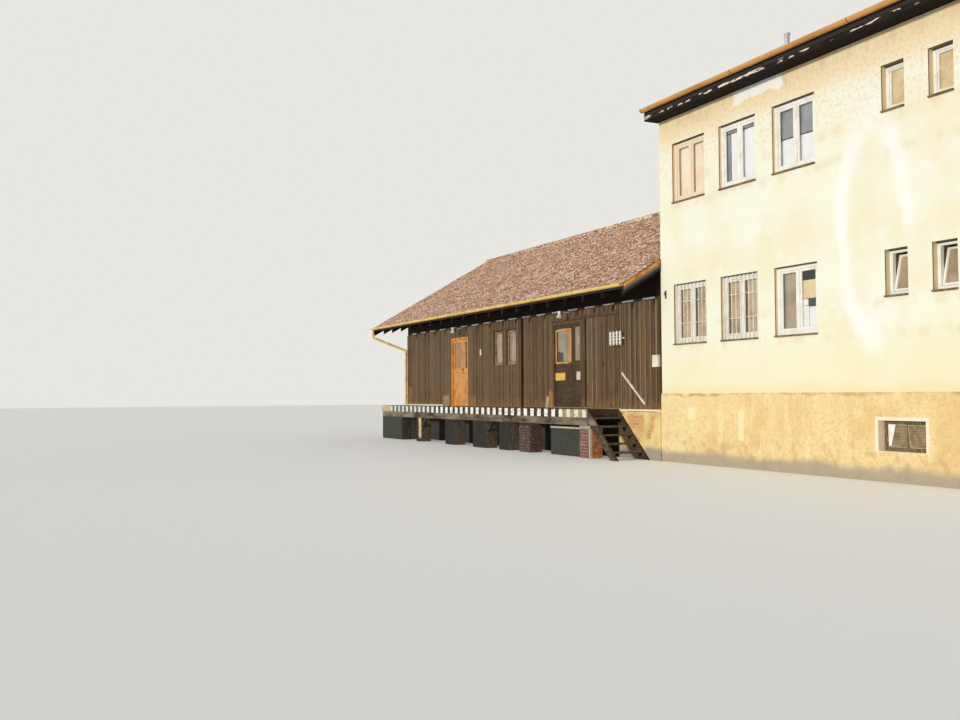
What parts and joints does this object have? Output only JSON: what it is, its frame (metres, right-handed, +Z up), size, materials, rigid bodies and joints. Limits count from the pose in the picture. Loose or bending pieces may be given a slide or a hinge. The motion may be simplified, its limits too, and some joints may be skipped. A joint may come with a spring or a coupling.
{
  "type": "railway station building",
  "caption": "Rendered two-storey station block with a timber goods shed, a narrow loading platform and steps, with hinged shed doors",
  "frame": {"origin": "middle of the building's outline at the lowest ground", "axes": "X along the front towards the station block, Y from the front to the back, Z up"},
  "size_m": [30.03, 11.0306, 9.996],
  "materials": {
    "plinth_render": null,
    "concrete": null,
    "cream_render": null,
    "roof_tiles": null,
    "pale_paint": null,
    "copper_gutter": null,
    "grey_metal": null,
    "white_paint": null,
    "glass": null,
    "sill_stone": null,
    "footing_render": null,
    "brown_boards": null,
    "dark_timber": null,
    "white_boards": null,
    "orange_boards": null,
    "ochre_gutter": null,
    "orange_varnish": null,
    "striped_paint": null,
    "pier_masonry": null,
    "pale_wood": null,
    "white_enamel": null,
    "white_plastic": null,
    "porcelain": null
  },
  "bodies": {
    "building": {"plinth_long_walls": "plinth_render", "plinth_end_walls": "plinth_render", "station_floors": "concrete", "station_front_wall": "cream_render", "station_back_wall": "cream_render", "station_left_wall": "cream_render", "station_right_wall": "cream_render", "station_roof_front": "roof_tiles", "station_roof_back": "roof_tiles", "station_eaves": "pale_paint", "station_gutters": "copper_gutter", "station_downpipes": "copper_gutter", "roof_flue": "grey_metal", "ground_floor_windows": "white_paint", "upper_floor_windows": "white_paint", "cellar_window": "white_paint", "ground_floor_glass": "glass", "upper_floor_glass": "glass", "window_sills": "sill_stone", "shed_foundation": "footing_render", "shed_end_foundation": "footing_render", "shed_floor": "concrete", "shed_front_wall": "brown_boards", "shed_wall_over_doors": "brown_boards", "shed_back_wall": "brown_boards", "shed_left_wall": "brown_boards", "shed_roof_front": "roof_tiles", "shed_roof_back": "roof_tiles", "ridge_tiles": "roof_tiles", "shed_ridge_beam": "dark_timber", "shed_rafters": "dark_timber", "eave_infill": "white_boards", "verge_boards": "orange_boards", "shed_gutters": "ochre_gutter", "shed_downpipes": "ochre_gutter", "shed_window_frames": "white_boards", "shed_window_glass": "glass", "window_hoods": "brown_boards", "door_frames": "orange_varnish", "platform_deck": "dark_timber", "platform_edge": "striped_paint", "platform_beam": "dark_timber", "platform_joists": "dark_timber", "platform_piers": "pier_masonry", "stair_stringers": "dark_timber", "stair_treads": "dark_timber", "stair_handrail": "pale_wood", "lamps": "white_enamel", "meter_box": "white_plastic", "insulator_rack": "porcelain"},
    "first_door": {"first_door_leaf": "orange_varnish", "first_door_glass": "glass"},
    "first_door_side": {"first_door_side_leaf": "orange_varnish", "first_door_side_glass": "glass"},
    "second_door": {"second_door_leaf": "dark_timber", "second_door_glass": "glass"},
    "second_door_side": {"second_door_side_leaf": "dark_timber", "second_door_side_glass": "glass"},
    "goods_door_left": {"goods_door_left_leaf": "brown_boards"},
    "goods_door_right": {"goods_door_right_leaf": "brown_boards"}
  },
  "joints": [
    {"name": "first_door_hinge", "type": "hinge", "parent": "building", "child": "first_door", "pos_m": [-10.309, -4.296, 1.6], "axis": [0, 0, 1], "range_deg": [0, 90]},
    {"name": "first_door_side_hinge", "type": "hinge", "parent": "building", "child": "first_door_side", "pos_m": [-9.201, -4.296, 1.6], "axis": [0, 0, 1], "range_deg": [-90, 0]},
    {"name": "second_door_hinge", "type": "hinge", "parent": "building", "child": "second_door", "pos_m": [-3.739, -4.296, 1.6], "axis": [0, 0, 1], "range_deg": [0, 90]},
    {"name": "second_door_side_hinge", "type": "hinge", "parent": "building", "child": "second_door_side", "pos_m": [-2.431, -4.296, 1.6], "axis": [0, 0, 1], "range_deg": [-90, 0]},
    {"name": "goods_door_left_hinge", "type": "hinge", "parent": "building", "child": "goods_door_left", "pos_m": [-2.199, -4.296, 1.6], "axis": [0, 0, 1], "range_deg": [0, 90]},
    {"name": "goods_door_right_hinge", "type": "hinge", "parent": "building", "child": "goods_door_right", "pos_m": [-0.691, -4.296, 1.6], "axis": [0, 0, 1], "range_deg": [-90, 0]}
  ]
}
